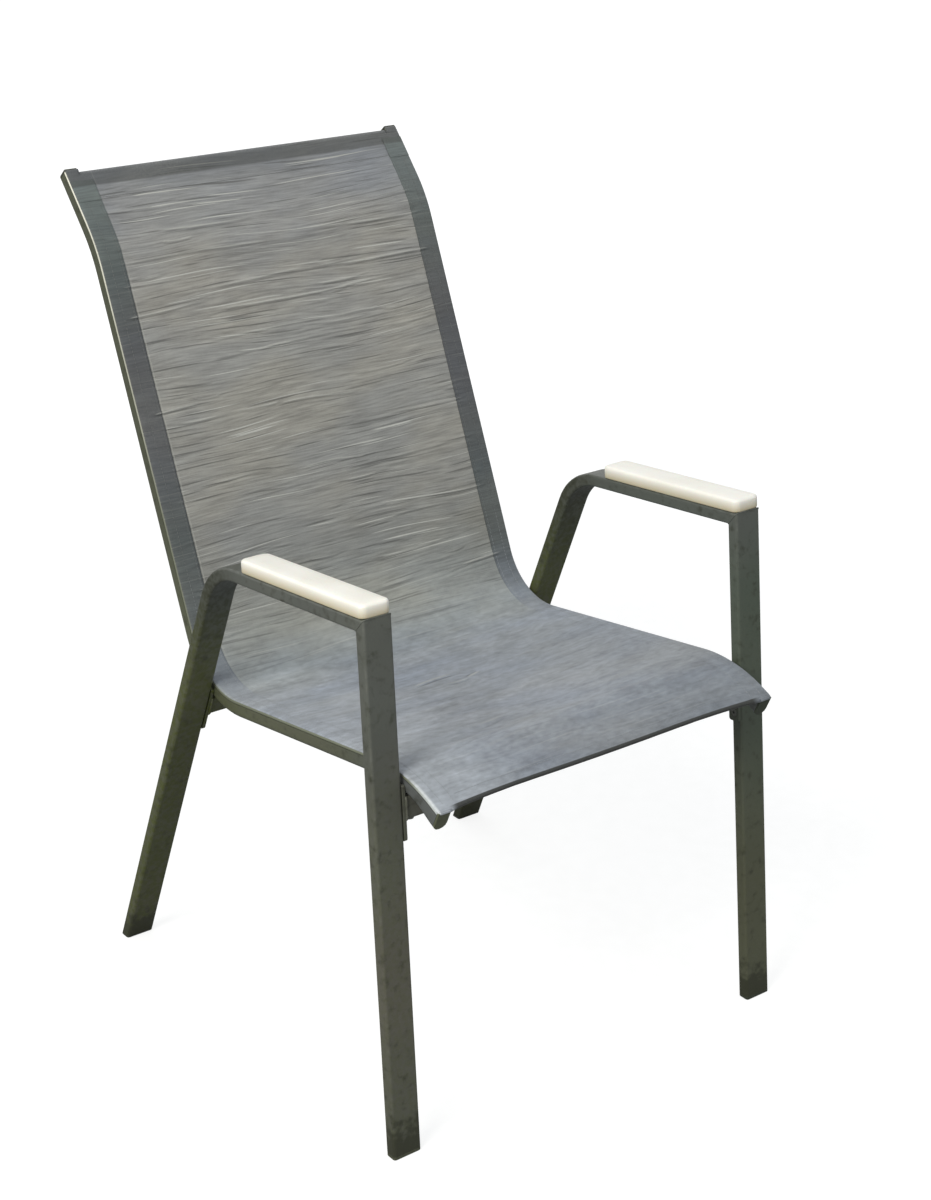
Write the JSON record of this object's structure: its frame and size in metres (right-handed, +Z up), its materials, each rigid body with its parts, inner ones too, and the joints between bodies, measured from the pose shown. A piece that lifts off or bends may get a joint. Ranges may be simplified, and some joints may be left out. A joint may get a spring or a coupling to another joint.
{
  "type": "sling patio chair",
  "caption": "Stacking patio armchair: flat-tube side frames, two cross tubes and bent rails that stretch a one-piece mesh sling for seat and high back, with slim arm pads.",
  "frame": {"origin": "on the floor, under the middle of the chair's width and depth", "axes": "+Z up, +X to the right as seen from the front, -Y the way the sitter faces"},
  "size_m": [0.59, 0.7744, 0.991],
  "materials": {
    "coated_aluminium": "satin powder coating, anthracite",
    "dark_plastic": "matt",
    "ivory_plastic": "satin",
    "mesh": "coated polyester mesh, taupe grey, darker doubled hems",
    "welt": "satin, soft profile",
    "steel": "plain stainless"
  },
  "bodies": {
    "root": {"front_cross_tube": "coated_aluminium", "head_spreader_tube": "coated_aluminium", "left_arm_pad": "ivory_plastic", "left_arm_rear_leg_tube": "coated_aluminium", "left_front_end_plate": "coated_aluminium", "left_front_glide": "dark_plastic", "left_front_leg_nut_lower": "steel", "left_front_leg_nut_upper": "steel", "left_front_leg_tube": "coated_aluminium", "left_front_pad_screw": "steel", "left_front_plate_bolt_lower": "steel", "left_front_plate_bolt_upper": "steel", "left_front_rail_bolt": "steel", "left_front_rail_nut": "steel", "left_rail_head_cap": "dark_plastic", "left_rail_nose_cap": "dark_plastic", "left_rear_end_plate": "coated_aluminium", "left_rear_glide": "dark_plastic", "left_rear_leg_nut_lower": "steel", "left_rear_leg_nut_upper": "steel", "left_rear_pad_screw": "steel", "left_rear_plate_bolt_lower": "steel", "left_rear_plate_bolt_upper": "steel", "left_rear_rail_bolt": "steel", "left_rear_rail_nut": "steel", "left_sling_rail": "coated_aluminium", "left_sling_welt": "welt", "left_spreader_spigot": "dark_plastic", "rear_cross_tube": "coated_aluminium", "right_arm_pad": "ivory_plastic", "right_arm_rear_leg_tube": "coated_aluminium", "right_front_end_plate": "coated_aluminium", "right_front_glide": "dark_plastic", "right_front_leg_nut_lower": "steel", "right_front_leg_nut_upper": "steel", "right_front_leg_tube": "coated_aluminium", "right_front_pad_screw": "steel", "right_front_plate_bolt_lower": "steel", "right_front_plate_bolt_upper": "steel", "right_front_rail_bolt": "steel", "right_front_rail_nut": "steel", "right_rail_head_cap": "dark_plastic", "right_rail_nose_cap": "dark_plastic", "right_rear_end_plate": "coated_aluminium", "right_rear_glide": "dark_plastic", "right_rear_leg_nut_lower": "steel", "right_rear_leg_nut_upper": "steel", "right_rear_pad_screw": "steel", "right_rear_plate_bolt_lower": "steel", "right_rear_plate_bolt_upper": "steel", "right_rear_rail_bolt": "steel", "right_rear_rail_nut": "steel", "right_sling_rail": "coated_aluminium", "right_sling_welt": "welt", "right_spreader_spigot": "dark_plastic", "sling_mesh": "mesh"}
  },
  "joints": []
}
